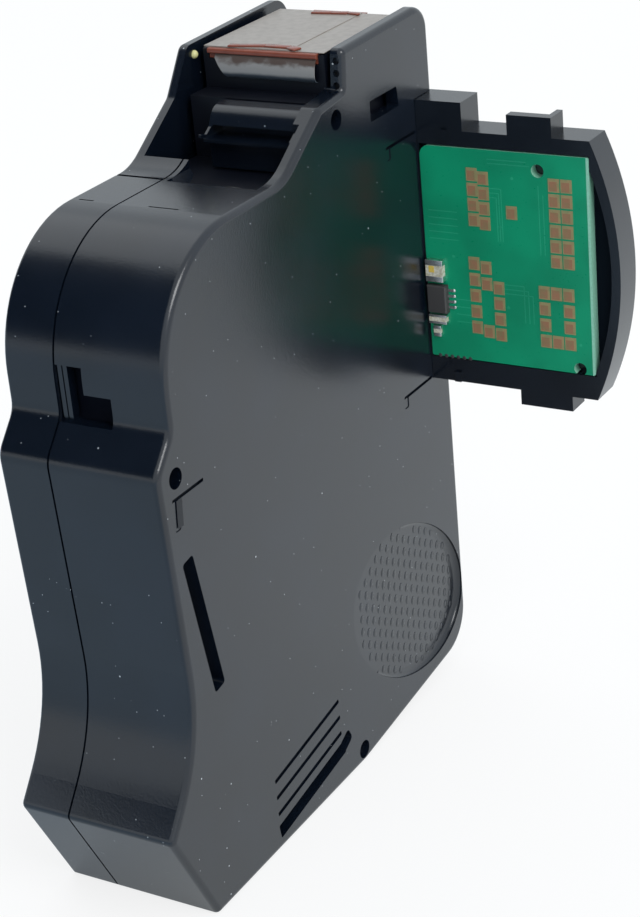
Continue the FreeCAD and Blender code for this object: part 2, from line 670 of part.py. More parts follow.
def film_flap():
    """The end of the film that hangs over the front of the snout and folds back under itself."""
    y0 = TANK_NEAR + FLAP_SIDE
    far = y0 + FLAP_WIDTH
    top = FILM_BASE - FLEX_BEAD
    x = CHEEK_FRONT - FILM_THICK
    start, end = V(x, y0, top), V(x, y0, top - FLAP_DROP)
    upper = V(CHEEK_FRONT - FLAP_BULGE * 0.8, y0, top - FLAP_DROP * 0.32)
    tip = V(CHEEK_FRONT - FLAP_BULGE, y0, top - FLAP_DROP * 0.72)
    under = V(CHEEK_FRONT - FLAP_BULGE * 0.75, y0, top - FLAP_DROP * 0.92)
    back = V(FILM_THICK, 0, 0)
    curves = [
        Part.Arc(start, upper, tip),
        Part.Arc(tip, under, end),
        Part.LineSegment(end, end + back),
        Part.Arc(end + back, under + back, tip + back),
        Part.Arc(tip + back, upper + back, start + back),
        Part.LineSegment(start + back, start),
    ]
    flap = Part.Face(Part.Wire([curve.toShape() for curve in curves])).extrude(V(0, FLAP_WIDTH, 0))
    corner = [
        (far - FLAP_CORNER, end.z - 1, 0),
        (far + 0.1, top - 0.4, 0),
        (far + 1, top - 0.4, 0),
        (far + 1, end.z - 1, 0),
    ]
    return flap.cut(slab(corner, CHEEK_FRONT - FLAP_BULGE - 1, CHEEK_FRONT + 1))


def adhesive_dot():
    """A drop of adhesive on the front inner corner of the far cheek."""
    x, z, r = CHEEK_FRONT - DOT_RADIUS, CHEEK_HEIGHT - 1.6, DOT_RADIUS
    inside = box(x - r, x + r, FAR_INSIDE - r, FAR_INSIDE, z - r, z + r)
    return Part.makeSphere(r, V(x, FAR_INSIDE, z)).common(inside)


def lead_ribbon():
    """The flat lead from the head down the back of the snout to the root of the wing."""
    low, far = (WING_BOTTOM + WING_TOP) / 2, SNOUT_Y + FLEX_TONGUE / 2
    return box(SNOUT_BACK, SNOUT_BACK + RIBBON_THICK, WING_ROOT, far, low, FILM_BASE - 2 * FLEX_THICK)


def wing_outline(margin=0.0):
    """Outline of the wing across the thickness, without its tabs; y is negative outside the case."""
    y = -(WING_SPAN - margin)
    low, high = WING_BOTTOM + margin, WING_TOP - margin
    start, end = V(WING_FRONT, y, low), V(WING_FRONT, y, high)
    middle = V(WING_FRONT, y - WING_BULGE, (low + high) / 2)
    root_low, root_high = V(WING_FRONT, margin, low), V(WING_FRONT, margin, high)
    edges = [Part.LineSegment(root_low, start), Part.Arc(start, middle, end),
             Part.LineSegment(end, root_high), Part.LineSegment(root_high, root_low)]
    return Part.Wire([edge.toShape() for edge in edges])


def wing_tab(start, width, low, high):
    """A thin tab on the front plane of the wing with a deeper post at its outer end."""
    end = start + width
    leaf = box(WING_FRONT, WING_FRONT + TAB_THICK, -end, -start, low, high)
    post = box(WING_FRONT, WING_FRONT + POST_DEPTH, -end, -end + POST_WIDTH, low, high)
    return leaf.fuse(post)


def board_clip(low):
    """A small clip on the front plane of the wing that holds an edge of the board."""
    y = -CLIP_START - CLIP_WIDTH
    return box(WING_FRONT - CLIP_PROUD, WING_FRONT + 0.1, y, y + CLIP_WIDTH, low, low + CLIP_HEIGHT)


def wing_back_hollow():
    """The open back of the wing, divided by ribs."""
    reach = WING_FRONT + WING_DEPTH
    middle = (WING_BOTTOM + WING_TOP) / 2
    hollow = Part.Face(wing_outline(WING_RIM)).extrude(V(WING_DEPTH, 0, 0))
    hollow.translate(V(BOARD_BACK - WING_FRONT + BOARD_FLOOR, 0, 0))
    ribs = [box(BOARD_BACK, reach, -WING_SPAN * part, -WING_SPAN * part + RIB_THICK, WING_BOTTOM, WING_TOP)
            for part in (0.3, 0.62)]
    ribs.append(box(BOARD_BACK, reach, -WING_SPAN - WING_BULGE, 0, middle, middle + RIB_THICK))
    ribs.append(box(BOARD_BACK, reach, -WING_RIM, WING_ROOT, WING_BOTTOM, WING_TOP))
    return hollow.cut(ribs[0].multiFuse(ribs[1:]))


def wing_root_hollow():
    """The space in the root of the wing that the lead runs into."""
    top = WING_TOP + TAB_HEIGHT
    front, back = WING_FRONT + WALL / 2, CASE_DEPTH - WALL
    hollow = box(front, back, WING_RIM, WING_ROOT + 1, WING_BOTTOM + WALL, top - WALL)
    bulkhead = box(WING_FRONT, SNOUT_BACK + FIT_GAP, WING_ROOT - 1, WING_ROOT + 1, WING_BOTTOM, top)
    return hollow.cut(bulkhead)


def contact_wing():
    body = Part.Face(wing_outline()).extrude(V(WING_DEPTH, 0, 0))
    tabs = [
        box(WING_FRONT, CASE_DEPTH, -TAB_WIDTH, 0, WING_TOP - 1, WING_TOP + TAB_HEIGHT),
        wing_tab(UPPER_TAB_START, UPPER_TAB_WIDTH, WING_TOP - 1, WING_TOP + UPPER_TAB_HEIGHT),
        wing_tab(LOWER_TAB_START, LOWER_TAB_WIDTH, WING_BOTTOM - LOWER_TAB_HEIGHT, WING_BOTTOM + 1),
        box(WING_FRONT, CASE_DEPTH, -0.1, WING_ROOT, WING_BOTTOM, WING_TOP + TAB_HEIGHT),
        board_clip(WING_TOP - CLIP_HEIGHT + 0.2),
        board_clip(WING_BOTTOM + 0.1),
    ]
    front, outside = WING_FRONT - 1, -WING_SPAN - WING_BULGE
    low, high = BOARD_BOTTOM - 0.2, BOARD_TOP + 0.2
    rim = Part.Face(wing_outline(WING_RIM)).extrude(V(BOARD_BACK - WING_FRONT, 0, 0))
    tray = rim.common(box(front, BOARD_BACK, outside, 0.1 - BOARD_GAP, low, high))
    bed = box(front, BOARD_BACK, -BOARD_EDGE - 0.1, 0.1 - BOARD_GAP, low, high)
    return fuse(body, tabs).cut(tray.multiFuse([bed, wing_back_hollow(), wing_root_hollow()]))


def circuit_board():
    """The board, with one rounded corner, a round hole and a hole that breaks into its lower edge."""
    low, high = BOARD_BOTTOM, BOARD_TOP
    corners = [
        (-BOARD_GAP, low, 0.3),
        (-BOARD_EDGE, low, 0.3),
        (-BOARD_EDGE, high, 0.3),
        (-BOARD_GAP, high, 1.6),
    ]
    board = slab(corners, BOARD_FACE, BOARD_BACK)
    front, back = BOARD_FACE - 1, BOARD_BACK + 1
    holes = [rod_x(-BOARD_EDGE + 8.0, high - 2.55, BOARD_HOLE_RADIUS, front, back),
             rod_x(-BOARD_EDGE + 2.4, low + 0.75, BOARD_HOLE_RADIUS, front, back)]
    return board.cut(holes[0].fuse(holes[1]))


def pad_group(places):
    """Thin gold pads on the board, one separate solid for each place (distance out from the case, height)."""
    pads = []
    for out, z in places:
        pads.append(box(BOARD_FACE - PAD_THICK, BOARD_FACE, -out - PAD_WIDTH / 2, -out + PAD_WIDTH / 2,
                        z - PAD_HEIGHT / 2, z + PAD_HEIGHT / 2))
    return Part.makeCompound(pads)


def pad_places():
    """Places of the pads by group, measured from the free upper corner and the root edge of the board."""
    p, c = PAD_PITCH, PAD_COLUMN
    out, top = BOARD_EDGE - 5.5, BOARD_TOP - 4.5
    ring_out, ring_top = BOARD_EDGE - 7.7, BOARD_BOTTOM + 12.25
    root = BOARD_GAP + 8.0
    step = p * 1.1
    upper_outer = [(out + c * i, top - p * j) for i in range(2) for j in range(6)]
    inner = root + 0.4
    upper_inner = [(inner + PAD_WIDTH * i, top + 0.6 - 0.45 * i - p * j) for i in range(2) for j in range(4)]
    lower_outer = [(ring_out + c * i, ring_top - step * j) for i in range(3) for j in range(4)
                   if i != 1 or j in (0, 3)]
    first = [(root, ring_top + 3.4 - step * j) for j in range(5)]
    second = [(root + c, ring_top + 2.9), (root + c, ring_top + 2.9 - step), (root + c, ring_top - 7.25)]
    third = [(root + 2 * c, ring_top - 0.1 - p * 1.07 * j) for j in range(4)]
    return {
        "upper_outer_pads": upper_outer,
        "upper_inner_pads": upper_inner,
        "lower_outer_pads": lower_outer,
        "lower_inner_pads": first + second + third,
        "test_pad": [(root + 6.6, BOARD_TOP - 9.25)],
    }


def on_board(out, width, up, tall, height):
    """A small component body on the face of the board, placed from the board's lower root corner."""
    y = -(BOARD_GAP + out + width)
    return box(BOARD_FACE - height, BOARD_FACE, y, y + width, BOARD_BOTTOM + up, BOARD_BOTTOM + up + tall)


def memory_chip():
    chip = on_board(0.2, CHIP_WIDTH, CHIP_UP, CHIP_TALL, CHIP_HEIGHT)
    top = [e for e in chip.Edges if abs(e.CenterOfMass.x - (BOARD_FACE - CHIP_HEIGHT)) < 1e-6]
    return chip.makeChamfer(0.2, top)


def chip_leads():
    start = CHIP_UP + (CHIP_TALL - LEAD_PITCH * (LEAD_COUNT - 1) - LEAD_WIDTH) / 2
    return Part.makeCompound([on_board(0.2 + CHIP_WIDTH, 0.9, start + LEAD_PITCH * i, LEAD_WIDTH, 0.15)
                              for i in range(LEAD_COUNT)])


def board_capacitors():
    """Two small capacitors above and below the chip."""
    above = on_board(0.2, 2.8, CHIP_UP + CHIP_TALL + 0.6, 3.4, 0.9)
    below = on_board(0.2, 2.9, CHIP_UP - 1.8, 1.4, 0.8)
    return Part.makeCompound([above, below])


def board_resistor():
    return on_board(0.7, 1.2, CHIP_UP - 4.0, 1.7, 0.5)


def export(node, shape):
    """Put the origin in the middle of the flat of the base and write one file."""
    shape.translate(V(-BASE_FLAT / 2, -THICKNESS / 2, 0))
    shape.exportStep("parts/%s.step" % node)
    facts = (node, len(shape.Solids), shape.Volume, shape.isValid())
    print("%-22s solids %2d  volume %9.1f  valid %s" % facts)


def build():
    os.makedirs("parts", exist_ok=True)
    nodes = {
        "near_shell": near_shell(),
        "far_shell": far_shell(),
        "reservoir_frame": reservoir_frame(),
        "reservoir_cover_near": reservoir_cover(TANK_NEAR - COVER_NEAR, COVER_NEAR),
        "reservoir_cover_far": reservoir_cover(TANK_FAR, COVER_FAR),
        "ink_foam": ink_foam(),
        "filter_screen": filter_screen(),
        "fill_plug": fill_plug(),
        "nozzle_plate": nozzle_plate(),
        "flex_circuit": flex_circuit(),
        "protective_film": protective_film(),
        "film_flap": film_flap(),
        "adhesive_dot": adhesive_dot(),
        "lead_ribbon": lead_ribbon(),
        "contact_wing": contact_wing(),
        "circuit_board": circuit_board(),
        "memory_chip": memory_chip(),
        "chip_leads": chip_leads(),
        "board_capacitors": board_capacitors(),
        "board_resistor": board_resistor(),
    }
    for name, places in pad_places().items():
        nodes[name] = pad_group(places)
    for name, shape in nodes.items():
        export(name, shape)


build()
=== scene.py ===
"""Looks of an inkjet ink cartridge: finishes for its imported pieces, fine pieces, light and camera.

Lengths are in metres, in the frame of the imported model: the origin is the middle of the flat of the
base, +Z runs up to the snout, +X to the straight back, and the wing stands out towards -Y.
"""
from __future__ import annotations

import logging
import math
from dataclasses import dataclass
from enum import Enum
from typing import Any, Callable, Sequence

import bmesh
import bpy
from mathutils import Matrix, Vector


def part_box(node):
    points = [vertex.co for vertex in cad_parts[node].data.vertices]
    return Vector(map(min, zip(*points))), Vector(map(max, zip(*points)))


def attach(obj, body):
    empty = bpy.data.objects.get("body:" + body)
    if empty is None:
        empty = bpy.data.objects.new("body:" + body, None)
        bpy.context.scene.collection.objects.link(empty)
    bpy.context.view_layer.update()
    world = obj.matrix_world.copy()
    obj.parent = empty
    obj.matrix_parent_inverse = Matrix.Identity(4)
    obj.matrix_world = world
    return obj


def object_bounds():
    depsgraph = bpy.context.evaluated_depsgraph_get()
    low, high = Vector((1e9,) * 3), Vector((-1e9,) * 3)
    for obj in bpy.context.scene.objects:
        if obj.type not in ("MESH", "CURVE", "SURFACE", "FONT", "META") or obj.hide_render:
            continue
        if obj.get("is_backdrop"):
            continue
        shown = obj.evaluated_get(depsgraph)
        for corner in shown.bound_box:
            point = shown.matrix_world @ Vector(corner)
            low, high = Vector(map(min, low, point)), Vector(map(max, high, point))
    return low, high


LOG = logging.getLogger("cartridge")
MM = 0.001
BODY = "root"
MERGE_DISTANCE = 1e-6
UP = Vector((0.0, 0.0, 1.0))
TOWARDS_NEAR_SIDE = Vector((0.0, -1.0, 0.0))
TOWARDS_FRONT = Vector((-1.0, 0.0, 0.0))

Colour = tuple[float, float, float]
Point = tuple[float, float, float]
Box = tuple[Sequence[float], Sequence[float]]


class Value:
    """A number in a shader: arithmetic on it adds Math nodes."""

    def __init__(self, tree: bpy.types.NodeTree, socket: bpy.types.NodeSocket) -> None:
        """Wraps an output socket of a node tree."""
        self.tree = tree
        self.socket = socket

    def _math(self, operation: str, *numbers: "Value | float") -> "Value":
        """Adds one Math node.

        Args:
            operation: The node's operation.
            numbers: Its inputs in order.

        Returns:
            The node's result.
        """
        node = self.tree.nodes.new("ShaderNodeMath")
        node.operation = operation
        for place, number in zip(node.inputs, numbers):
            if isinstance(number, Value):
                self.tree.links.new(number.socket, place)
            else:
                place.default_value = number
        return Value(self.tree, node.outputs[0])

    def __add__(self, other: "Value | float") -> "Value":
        """Sum."""
        return self._math("ADD", self, other)

    def __radd__(self, other: float) -> "Value":
        """Sum, with the number first."""
        return self._math("ADD", other, self)

    def __sub__(self, other: "Value | float") -> "Value":
        """Difference."""
        return self._math("SUBTRACT", self, other)

    def __rsub__(self, other: float) -> "Value":
        """Difference, with the number first."""
        return self._math("SUBTRACT", other, self)

    def __mul__(self, other: "Value | float") -> "Value":
        """Product."""
        return self._math("MULTIPLY", self, other)

    def __rmul__(self, other: float) -> "Value":
        """Product, with the number first."""
        return self._math("MULTIPLY", other, self)

    def __truediv__(self, other: "Value | float") -> "Value":
        """Quotient."""
        return self._math("DIVIDE", self, other)

    def __gt__(self, other: "Value | float") -> "Value":
        """1 where this is the larger, else 0."""
        return self._math("GREATER_THAN", self, other)

    def __lt__(self, other: "Value | float") -> "Value":
        """1 where this is the smaller, else 0."""
        return self._math("LESS_THAN", self, other)

    def sine(self) -> "Value":
        """Sine of this angle, which is in radians."""
        return self._math("SINE", self)

    def step(self, low: float, high: float) -> "Value":
        """A smooth step.

        Args:
            low: Where it leaves 0.
            high: Where it reaches 1.

        Returns:
            A number from 0 to 1.
        """
        share = (self - low) / (high - low)
        share = share._math("MAXIMUM", share._math("MINIMUM", share, 1.0), 0.0)
        return share * share * (3.0 - 2.0 * share)


class Paint:
    """One material and the nodes that its finish adds."""

    MIX_FACTOR, MIX_FIRST, MIX_SECOND = 0, 6, 7
    MIX_RESULT = 2

    def __init__(self, name: str) -> None:
        """Starts a material with a Principled shader.

        Args:
            name: The material's name.
        """
        self.material = bpy.data.materials.new(name)
        self.material.use_nodes = True
        self.tree = self.material.node_tree
        self.tree.nodes.clear()
        self.shader = self.node("ShaderNodeBsdfPrincipled")
        self.output = self.node("ShaderNodeOutputMaterial", sockets={"Surface": self.shader.outputs[0]})

    def node(
        self, kind: str, settings: dict[str, Any] | None = None, sockets: dict[str | int, Any] | None = None
    ) -> bpy.types.Node:
        """Adds one node.

        Args:
            kind: The node's type.
            settings: Its properties.
            sockets: Values or links of its inputs, by name or number.

        Returns:
            The node.
        """
        made = self.tree.nodes.new(kind)
        for name, setting in (settings or {}).items():
            setattr(made, name, setting)
        for name, value in (sockets or {}).items():
            self.put(made.inputs[name], value)
        return made

    def put(self, place: bpy.types.NodeSocket, value: Any) -> None:
        """Links a value to an input, or sets it there.

        Args:
            place: The input socket.
            value: A Value, an output socket, or a constant.
        """
        if isinstance(value, Value):
            self.tree.links.new(value.socket, place)
        elif isinstance(value, bpy.types.NodeSocket):
            self.tree.links.new(value, place)
        elif place.type == "RGBA" and len(value) == 3:
            place.default_value = (*value, 1.0)
        else:
            place.default_value = value

    def value(self, socket: bpy.types.NodeSocket) -> Value:
        """The socket as a number for arithmetic."""
        return Value(self.tree, socket)

    def part(self, vector: bpy.types.NodeSocket, name: str) -> Value:
        """One of a vector's parts X, Y or Z as a number."""
        return self.value(self.node("ShaderNodeSeparateXYZ", sockets={0: vector}).outputs[name])

    def place(self) -> bpy.types.NodeSocket:
        """Object coordinates, in metres."""
        return self.node("ShaderNodeTexCoord").outputs["Object"]

    def axis(self, name: str) -> Value:
        """One of the object coordinates X, Y or Z as a number."""
        return self.part(self.place(), name)

    def noise(self, size: float, detail: float = 2.0, stretch: Point = (1.0, 1.0, 1.0)) -> Value:
        """Noise from 0 to 1.

        Args:
            size: Length of one blot, in metres.
            detail: Octaves of finer noise.
            stretch: Factors on the coordinates.

        Returns:
            The noise as a number.
        """
        mapped = self.node("ShaderNodeMapping", sockets={"Vector": self.place(), "Scale": stretch})
        sockets = {"Vector": mapped.outputs[0], "Scale": 1.0 / size, "Detail": detail}
        return self.value(self.node("ShaderNodeTexNoise", sockets=sockets).outputs[0])

    def specks(self, spacing: float, radius: float, share: float) -> Value:
        """Small scattered dots.

        Args:
            spacing: Size of the cells that may hold a dot, in metres.
            radius: Radius of a dot, in metres.
            share: Share of the cells that hold one.

        Returns:
            1 on a dot, 0 elsewhere.
        """
        cells = self.node("ShaderNodeTexVoronoi", sockets={"Vector": self.place(), "Scale": 1.0 / spacing})
        luck = self.node("ShaderNodeSeparateColor", sockets={0: cells.outputs["Color"]})
        near = 1.0 - self.value(cells.outputs["Distance"]).step(0.6 * radius / spacing, radius / spacing)
        return near * (self.value(luck.outputs[0]) < share)

    def mix(self, mask: Value | float, first: Any, second: Any) -> bpy.types.NodeSocket:
        """Mixes two colours.

        Args:
            mask: 0 gives the first colour and 1 the second.
            first: A colour or a link.
            second: A colour or a link.

        Returns:
            The mixed colour.
        """
        settings = {"data_type": "RGBA", "blend_type": "MIX"}
        sockets = {self.MIX_FACTOR: mask, self.MIX_FIRST: first, self.MIX_SECOND: second}
        return self.node("ShaderNodeMix", settings, sockets).outputs[self.MIX_RESULT]

    def bump(self, height: Value, depth: float) -> None:
        """Gives the shader a bump.

        Args:
            height: Height from 0 to 1.
            depth: What 1 stands for, in metres.
        """
        sockets = {"Height": height, "Distance": depth, "Strength": 1.0}
        self.finish(Normal=self.node("ShaderNodeBump", sockets=sockets).outputs[0])

    def finish(self, **sockets: Any) -> None:
        """Sets inputs of the Principled shader, with _ for a blank in their names."""
        for name, value in sockets.items():
            self.put(self.shader.inputs[name.replace("_", " ")], value)

    def cover(self, mask: Value, other: bpy.types.Node) -> None:
        """Shows another shader in front of the Principled shader.

        Args:
            mask: How much of it shows, from 0 to 1.
            other: The other shader's node.
        """
        sockets = {0: mask, 1: self.shader.outputs[0], 2: other.outputs[0]}
        both = self.node("ShaderNodeMixShader", sockets=sockets)
        self.put(self.output.inputs["Surface"], both.outputs[0])


def scaled(colour: Colour, factor: float) -> Colour:
    """The colour with each of its parts times a factor."""
    return tuple(part * factor for part in colour)


class Gloss(Enum):
    """Roughness with which a moulded surface left its tool."""

    SEMI = 0.23
    SATIN = 0.42
    DULL = 0.6


@dataclass(frozen=True)
class MouldedPlastic:
    """Injection-moulded plastic with fine grain, faint flow and dust, and painted shade on the front-facing
    walls in a recess.
    """

    name: str
    colour: Colour
    gloss: Gloss
    grain: float = 0.22 * MM
    grain_depth: float = 0.009 * MM
    dust: float = 0.0
    refraction: float = 1.6
    recess: Box | None = None
    flow_size: float = 14 * MM
    dust_colour: Colour = (0.55, 0.58, 0.60)
    dust_cover: float = 0.8
    coarse_dust: tuple[float, float] = (3.1 * MM, 0.16 * MM)
    fine_dust: tuple[float, float] = (1.3 * MM, 0.09 * MM)
    # Painted shade in a recess: the facing limit picks the walls, and the roughness and IOR make them reflect
    # little.
    shade_facing: float = -0.7
    shade_roughness: float = 0.7
    shade_refraction: float = 1.15

    def make(self) -> bpy.types.Material:
        """Builds the finish.

        Returns:
            The material.
        """
        paint = Paint(self.name)
        grain = paint.noise(self.grain, 3.0)
        flow = paint.noise(self.flow_size)
        lighter = tuple(part * 1.5 + 0.001 for part in self.colour)
        colour = paint.mix(flow.step(0.35, 0.75), self.colour, lighter)
        if self.dust:
            specks = paint.specks(*self.coarse_dust, self.dust) + paint.specks(*self.fine_dust, self.dust)
            colour = paint.mix(specks * self.dust_cover, colour, self.dust_colour)
        roughness = self.gloss.value + 0.08 * (flow - 0.5) + 0.06 * (grain - 0.5)
        if self.recess:
            self.add_recess_shade(paint, self.recess)
        paint.finish(Base_Color=colour, Roughness=roughness, IOR=self.refraction)
        paint.bump(grain, self.grain_depth)
        return paint.material

    def add_recess_shade(self, paint: Paint, recess: Box) -> None:
        """Paints shade on the forward faces inside a recess with a rough, weakly reflecting cover, because
        little light comes back out of it.

        Args:
            paint: The material.
            recess: Lowest and highest corner of the recess.
        """
        normal = paint.node("ShaderNodeNewGeometry").outputs["Normal"]
        inside = paint.part(normal, "X") < self.shade_facing
        for name, start, end in zip("XYZ", *recess):
            inside = inside * (paint.axis(name) > start) * (paint.axis(name) < end)
        # Painted shade: a rough, low-IOR cover over the forward walls inside the recess.
        painted_shade = paint.node("ShaderNodeBsdfPrincipled", sockets={
            "Base Color": self.colour, "Roughness": self.shade_roughness, "IOR": self.shade_refraction,
        })
        paint.cover(inside, painted_shade)


@dataclass(frozen=True)
class SolderMask:
    """Green lacquer over copper: a faint glass weave, and a paler laminate at the board's edges."""

    name: str
    colour: Colour
    edge_colour: Colour
    face_x: float
    rim_y: float
    lacquer: float = 0.02 * MM
    cloud_size: float = 9 * MM
    weave_size: float = 0.35 * MM

    def make(self) -> bpy.types.Material:
        """Builds the finish.

        Returns:
            The material.
        """
        paint = Paint(self.name)
        cloudy = paint.noise(self.cloud_size)
        weave = paint.noise(self.weave_size)
        mask = paint.mix(cloudy.step(0.3, 0.7), self.colour, scaled(self.colour, 0.78))
        laminate = paint.mix(weave, self.edge_colour, scaled(self.edge_colour, 0.7))
        on_face = paint.axis("X") < self.face_x + self.lacquer
        past_rim = paint.axis("Y") < self.rim_y
        colour = paint.mix(on_face * (1.0 - past_rim), laminate, mask)
        paint.finish(Base_Color=colour, Roughness=0.30 + 0.12 * (weave - 0.5), IOR=1.5)
        paint.bump(weave, 0.002 * MM)
        return paint.material


@dataclass(frozen=True)
class PlatedMetal:
    """Thin plating over copper, with wear towards a second colour."""

    name: str
    colour: Colour
    worn: Colour
    roughness: float
    metallic: float = 1.0
    blot_size: float = 1.0 * MM
    scratch_size: float = 0.15 * MM

    def make(self) -> bpy.types.Material:
        """Builds the finish.

        Returns:
            The material.
        """
        paint = Paint(self.name)
        blots = paint.noise(self.blot_size, 3.0)
        scratches = paint.noise(self.scratch_size, stretch=(1.0, 0.15, 1.0))
        colour = paint.mix(blots.step(0.35, 0.7), self.colour, self.worn)
        roughness = self.roughness + 0.2 * (scratches - 0.5)
        paint.finish(Base_Color=colour, Metallic=self.metallic, Roughness=roughness)
        paint.bump(scratches, 0.003 * MM)
        return paint.material


@dataclass(frozen=True)
class ThinFilm:
    """Tinted film with soft creases."""

    name: str
    colour: Colour
    roughness: float
    crease_size: float = 5 * MM
    crease_depth: float = 0.02 * MM
    haze_size: float = 1.2 * MM

    def make(self) -> bpy.types.Material:
        """Builds the finish.

        Returns:
            The material.
        """
        paint = Paint(self.name)
        waves = paint.noise(self.crease_size, 1.0, (1.0, 0.35, 1.0))
        haze = paint.noise(self.haze_size)
        colour = paint.mix(haze.step(0.3, 0.8), self.colour, scaled(self.colour, 0.86))
        paint.finish(Base_Color=colour, Roughness=self.roughness + 0.1 * (haze - 0.5), IOR=1.45)
        paint.bump(waves, self.crease_depth)
        return paint.material


@dataclass(frozen=True)
class SmudgedFilm:
    """Film that hangs down: brown stains under the fold, grey below them, and painted shade where its end
    curls in.
    """

    name: str
    colour: Colour
    box: Box
    stain_colour: Colour = (0.060, 0.032, 0.022)
    curl_shade_colour: Colour = (0.055, 0.068, 0.085)
    blot_size: float = 1.6 * MM
    crease_size: float = 3 * MM
    crease_depth: float = 0.05 * MM

    def make(self) -> bpy.types.Material:
        """Builds the finish.

        Returns:
            The material.
        """
        paint = Paint(self.name)
        foot, top = self.box[0][2], self.box[1][2]
        fall = (top - paint.axis("Z")) / (top - foot)
        blots = paint.noise(self.blot_size, 3.0, (1.0, 0.6, 1.0))
        stain = 1.0 - (fall + 0.9 * (blots - 0.5)).step(0.12, 0.42)
        # Painted shade: the film darkens towards the bottom, where its end curls in.
        curl_shade = (fall + 0.12 * (blots - 0.5)).step(0.66, 0.84)
        colour = paint.mix(curl_shade, self.colour, self.curl_shade_colour)
        colour = paint.mix(stain * 0.85, colour, self.stain_colour)
        paint.finish(Base_Color=colour, Roughness=0.32 + 0.1 * (blots - 0.5), IOR=1.45)
        paint.bump(paint.noise(self.crease_size, 1.0, (1.0, 0.4, 1.0)), self.crease_depth)
        return paint.material


@dataclass(frozen=True)
class InkFoam:
    """Open-cell foam soaked with ink, with painted shade in its cell hollows."""

    name: str
    colour: Colour
    cell_size: float = 0.6 * MM
    cell_depth: float = 0.15 * MM

    def make(self) -> bpy.types.Material:
        """Builds the finish.

        Returns:
            The material.
        """
        paint = Paint(self.name)
        settings = {"feature": "DISTANCE_TO_EDGE"}
        sockets = {"Vector": paint.place(), "Scale": 1.0 / self.cell_size}
        cells = paint.node("ShaderNodeTexVoronoi", settings, sockets)
        hollow = paint.value(cells.outputs["Distance"]).step(0.02, 0.16)
        # Painted shade: the cell hollows are darker than the strands around them.
        colour = paint.mix(hollow, scaled(self.colour, 3.0), self.colour)
        paint.finish(Base_Color=colour, Roughness=0.75)
        paint.bump(1.0 - hollow, self.cell_depth)
        return paint.material


@dataclass(frozen=True)
class WovenScreen:
    """Fine woven steel mesh, with painted shade where the weave dips."""

    name: str
    colour: Colour
    pitch: float = 0.16 * MM
    wire_depth: float = 0.03 * MM

    def make(self) -> bpy.types.Material:
        """Builds the finish.

        Returns:
            The material.
        """
        paint = Paint(self.name)
        turn = math.tau / self.pitch
        warp, weft = ((paint.axis(name) * turn).sine() for name in "XY")
        weave = warp * weft * 0.5 + 0.5
        # Painted shade: the steel is darker where the weave dips.
        colour = paint.mix(weave, scaled(self.colour, 0.35), self.colour)
        paint.finish(Base_Color=colour, Metallic=1.0, Roughness=0.36 + 0.1 * weave)
        paint.bump(weave, self.wire_depth)
        return paint.material


@dataclass(frozen=True)
class CeramicBody:
    """Pale sintered body of a small component."""

    name: str
    colour: Colour
    mottle: Colour
    grain: float = 0.4 * MM
    grain_depth: float = 0.01 * MM

    def make(self) -> bpy.types.Material:
        """Builds the finish.

        Returns:
            The material.
        """
        paint = Paint(self.name)
        grain = paint.noise(self.grain, 3.0)
        colour = paint.mix(grain.step(0.4, 0.65), self.colour, self.mottle)
        paint.finish(Base_Color=colour, Roughness=0.45 + 0.1 * (grain - 0.5))
        paint.bump(grain, self.grain_depth)
        return paint.material


